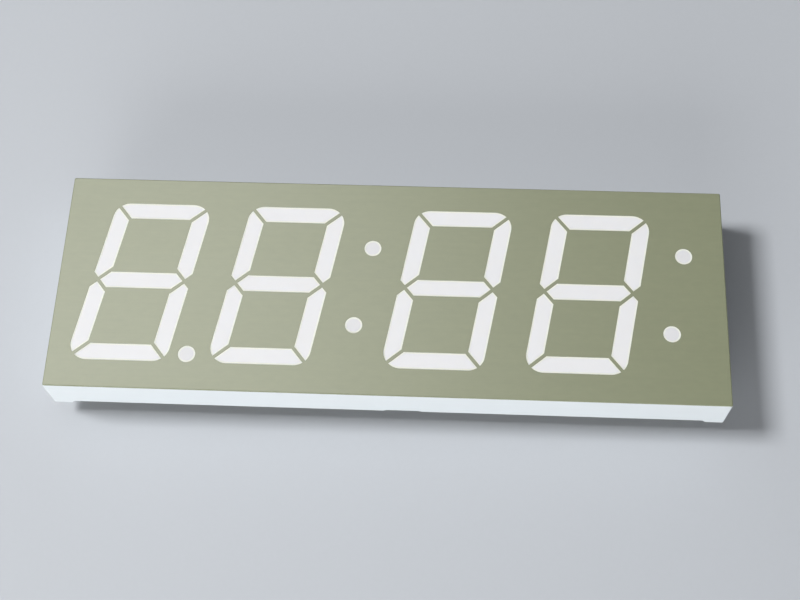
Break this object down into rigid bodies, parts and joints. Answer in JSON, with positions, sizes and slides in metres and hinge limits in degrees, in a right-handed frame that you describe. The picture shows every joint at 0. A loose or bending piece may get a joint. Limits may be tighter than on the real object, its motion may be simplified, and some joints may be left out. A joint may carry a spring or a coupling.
{
  "type": "four-digit seven-segment display",
  "caption": "Flat white-walled LED numeral display with a grey face, leaning seven-bar digits, a decimal point, colons and rows of round pins.",
  "frame": {"origin": "middle of the pin field, on the seating plane under the four feet", "axes": "+X along the digits in reading direction, +Y towards the tops of the digits, +Z out of the face; the pins point along -Z"},
  "size_m": [0.098, 0.0338, 0.0104],
  "materials": {
    "reflector_plastic": "cool white moulded thermoplastic, satin, with fine mould texture",
    "grey_print": "warm olive grey print, matt, with faint streaks along the long side",
    "lens_epoxy": "milky diffused epoxy, low gloss",
    "dot_epoxy": "milky diffused epoxy, low gloss, slightly darker than the bars",
    "board": "glass epoxy laminate under green solder resist",
    "seal_epoxy": "poured translucent epoxy, glossy, slightly uneven",
    "solder": "tin solder, bright",
    "bond_wire": "drawn gold wire",
    "led_die": "cleaved semiconductor with a metal pad",
    "pin_metal": "tinned wire, satin"
  },
  "bodies": {
    "root": {"housing": "reflector_plastic", "face_print": "grey_print", "circuit_board": "board", "back_seal": "seal_epoxy", "solder_joints": "solder", "bond_wires": "bond_wire", "digit_1_segment_a": "lens_epoxy", "digit_1_segment_b": "lens_epoxy", "digit_1_segment_c": "lens_epoxy", "digit_1_segment_d": "lens_epoxy", "digit_1_segment_e": "lens_epoxy", "digit_1_segment_f": "lens_epoxy", "digit_1_segment_g": "lens_epoxy", "digit_2_segment_a": "lens_epoxy", "digit_2_segment_b": "lens_epoxy", "digit_2_segment_c": "lens_epoxy", "digit_2_segment_d": "lens_epoxy", "digit_2_segment_e": "lens_epoxy", "digit_2_segment_f": "lens_epoxy", "digit_2_segment_g": "lens_epoxy", "digit_3_segment_a": "lens_epoxy", "digit_3_segment_b": "lens_epoxy", "digit_3_segment_c": "lens_epoxy", "digit_3_segment_d": "lens_epoxy", "digit_3_segment_e": "lens_epoxy", "digit_3_segment_f": "lens_epoxy", "digit_3_segment_g": "lens_epoxy", "digit_4_segment_a": "lens_epoxy", "digit_4_segment_b": "lens_epoxy", "digit_4_segment_c": "lens_epoxy", "digit_4_segment_d": "lens_epoxy", "digit_4_segment_e": "lens_epoxy", "digit_4_segment_f": "lens_epoxy", "digit_4_segment_g": "lens_epoxy", "decimal_point": "dot_epoxy", "colon_upper": "dot_epoxy", "colon_lower": "dot_epoxy", "end_colon_upper": "dot_epoxy", "end_colon_lower": "dot_epoxy", "digit_1_dice": "led_die", "digit_2_dice": "led_die", "digit_3_dice": "led_die", "digit_4_dice": "led_die", "dot_dice": "led_die", "pin_1": "pin_metal", "pin_2": "pin_metal", "pin_3": "pin_metal", "pin_4": "pin_metal", "pin_5": "pin_metal", "pin_6": "pin_metal", "pin_7": "pin_metal", "pin_8": "pin_metal", "pin_9": "pin_metal", "pin_10": "pin_metal", "pin_11": "pin_metal", "pin_12": "pin_metal", "pin_13": "pin_metal", "pin_14": "pin_metal", "pin_15": "pin_metal", "pin_16": "pin_metal"}
  },
  "joints": []
}
